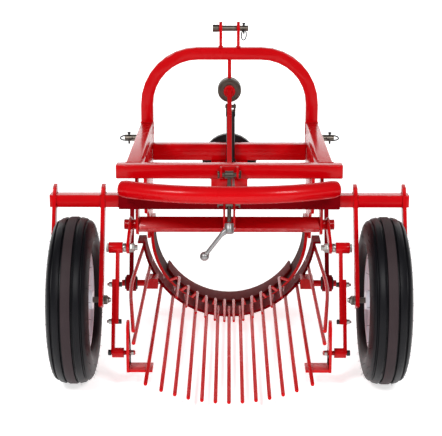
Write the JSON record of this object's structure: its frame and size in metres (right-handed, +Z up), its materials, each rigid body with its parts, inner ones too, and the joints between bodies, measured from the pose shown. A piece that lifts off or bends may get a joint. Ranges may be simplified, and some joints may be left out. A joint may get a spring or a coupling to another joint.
{
  "type": "mounted potato digger",
  "caption": "Tractor-mounted single-row potato digger with a half-round share, a shaken tine sieve behind it and two transport wheels.",
  "frame": {"origin": "on the ground, at the middle of the object's box", "axes": "+Z up, +Y the direction of travel (towards the tractor), +X to the right seen from behind"},
  "size_m": [1.016, 1.143, 0.922],
  "materials": {
    "red_paint": "glossy bright red enamel",
    "dark_red_paint": "dull dark red primer paint",
    "zinc_steel": "zinc-plated and bare steel",
    "black_plastic": "black moulded guard",
    "tyre_rubber": "new ribbed farm tyre",
    "bush_rubber": "black rubber bush",
    "rim_paint": "pale grey-white enamel"
  },
  "bodies": {
    "root": {"curved_tube": "red_paint", "drive_housing": "red_paint", "drive_shaft": "black_plastic", "front_crossbar": "red_paint", "guard_disc": "black_plastic", "headstock_arch": "red_paint", "hub_collar": "zinc_steel", "jack_upper_lugs": "red_paint", "left_gusset": "red_paint", "left_hitch_pin": "zinc_steel", "left_rail": "red_paint", "left_side_plate": "red_paint", "rear_brace": "red_paint", "rear_crossbeam": "red_paint", "right_gusset": "red_paint", "right_hitch_pin": "zinc_steel", "right_rail": "red_paint", "right_side_plate": "red_paint", "share_blade": "red_paint", "share_hoop": "dark_red_paint", "top_link_ear_left": "red_paint", "top_link_ear_right": "red_paint", "top_link_pin": "zinc_steel", "top_strut": "red_paint", "wheel_cross_tube": "red_paint"},
    "left_arm": {"left_wheel_arm": "red_paint", "left_axle": "zinc_steel"},
    "right_arm": {"right_wheel_arm": "red_paint", "right_axle": "zinc_steel"},
    "left_wheel": {"left_tyre": "tyre_rubber", "left_rim": "rim_paint"},
    "right_wheel": {"right_tyre": "tyre_rubber", "right_rim": "rim_paint"},
    "input": {"input_stub": "zinc_steel"},
    "lift": {"lift_tube": "red_paint", "left_lever": "red_paint", "right_lever": "red_paint", "jack_lower_lugs": "red_paint"},
    "link_bolts": {"left_link_bolt": "zinc_steel", "right_link_bolt": "zinc_steel"},
    "links": {"left_link": "red_paint", "right_link": "red_paint"},
    "rocker": {"rocker_shaft": "dark_red_paint"},
    "bushes": {"left_bush": "bush_rubber", "right_bush": "bush_rubber"},
    "sieve": {"sieve_basket": "red_paint", "left_sieve_bracket": "red_paint", "right_sieve_bracket": "red_paint"},
    "connecting_rod": {"connecting_rod": "zinc_steel"},
    "jack_screw": {"jack_screw": "zinc_steel"},
    "jack_nut": {"jack_nut": "zinc_steel"}
  },
  "joints": [
    {"name": "left_arm_slide", "type": "slide", "parent": "root", "child": "left_arm", "axis": [-1, 0, 0], "range_m": [0, 0.08]},
    {"name": "right_arm_slide", "type": "slide", "parent": "root", "child": "right_arm", "axis": [1, 0, 0], "range_m": [0, 0.08]},
    {"name": "left_wheel_spin", "type": "hinge", "parent": "left_arm", "child": "left_wheel", "pos_m": [-0.43, -0.3385, 0.233], "axis": [1, 0, 0], "continuous": true},
    {"name": "right_wheel_spin", "type": "hinge", "parent": "right_arm", "child": "right_wheel", "pos_m": [0.43, -0.3385, 0.233], "axis": [1, 0, 0], "continuous": true},
    {"name": "input_spin", "type": "hinge", "parent": "root", "child": "input", "pos_m": [0, 0.5115, 0.446], "axis": [0, 1, 0], "continuous": true},
    {"name": "lift_turn", "type": "hinge", "parent": "root", "child": "lift", "pos_m": [0, -0.1645, 0.405], "axis": [1, 0, 0], "range_deg": [-10, 2]},
    {"name": "shake", "type": "hinge", "parent": "root", "child": "rocker", "pos_m": [0, 0.1615, 0.39], "axis": [1, 0, 0], "range_deg": [-2.4, 2.4]},
    {"name": "bush_turn", "type": "hinge", "parent": "rocker", "child": "bushes", "pos_m": [0, 0.0615, 0.155], "axis": [1, 0, 0], "range_deg": [-4, 4]},
    {"name": "sieve_tilt", "type": "hinge", "parent": "bushes", "child": "sieve", "pos_m": [0, 0.0615, 0.155], "axis": [1, 0, 0], "range_deg": [-4, 4]},
    {"name": "connecting_rod_turn", "type": "hinge", "parent": "rocker", "child": "connecting_rod", "pos_m": [0, 0.1615, 0.435], "axis": [1, 0, 0], "range_deg": [-4, 4]},
    {"name": "link_bolt_turn", "type": "hinge", "parent": "lift", "child": "link_bolts", "pos_m": [0, -0.2765, 0.367], "axis": [1, 0, 0], "range_deg": [-4, 13]},
    {"name": "link_swing", "type": "hinge", "parent": "link_bolts", "child": "links", "pos_m": [0, -0.2765, 0.367], "axis": [1, 0, 0], "range_deg": [-3, 3]},
    {"name": "jack_swing", "type": "hinge", "parent": "root", "child": "jack_screw", "pos_m": [0, -0.2385, 0.569], "axis": [1, 0, 0], "range_deg": [-4, 9]},
    {"name": "jack_nut_turn", "type": "hinge", "parent": "lift", "child": "jack_nut", "pos_m": [0, -0.2735, 0.494], "axis": [1, 0, 0], "range_deg": [-6, 20]}
  ],
  "couplings": [
    {"joint": "bush_turn", "follows": "shake", "ratio": -1},
    {"joint": "sieve_tilt", "follows": "lift_turn", "ratio": 0.24},
    {"joint": "connecting_rod_turn", "follows": "shake", "ratio": -1},
    {"joint": "link_bolt_turn", "follows": "lift_turn", "ratio": -1.0584},
    {"joint": "link_swing", "follows": "shake", "ratio": 0.8621},
    {"joint": "jack_swing", "follows": "lift_turn", "ratio": -0.72},
    {"joint": "jack_nut_turn", "follows": "lift_turn", "ratio": -1.72}
  ]
}
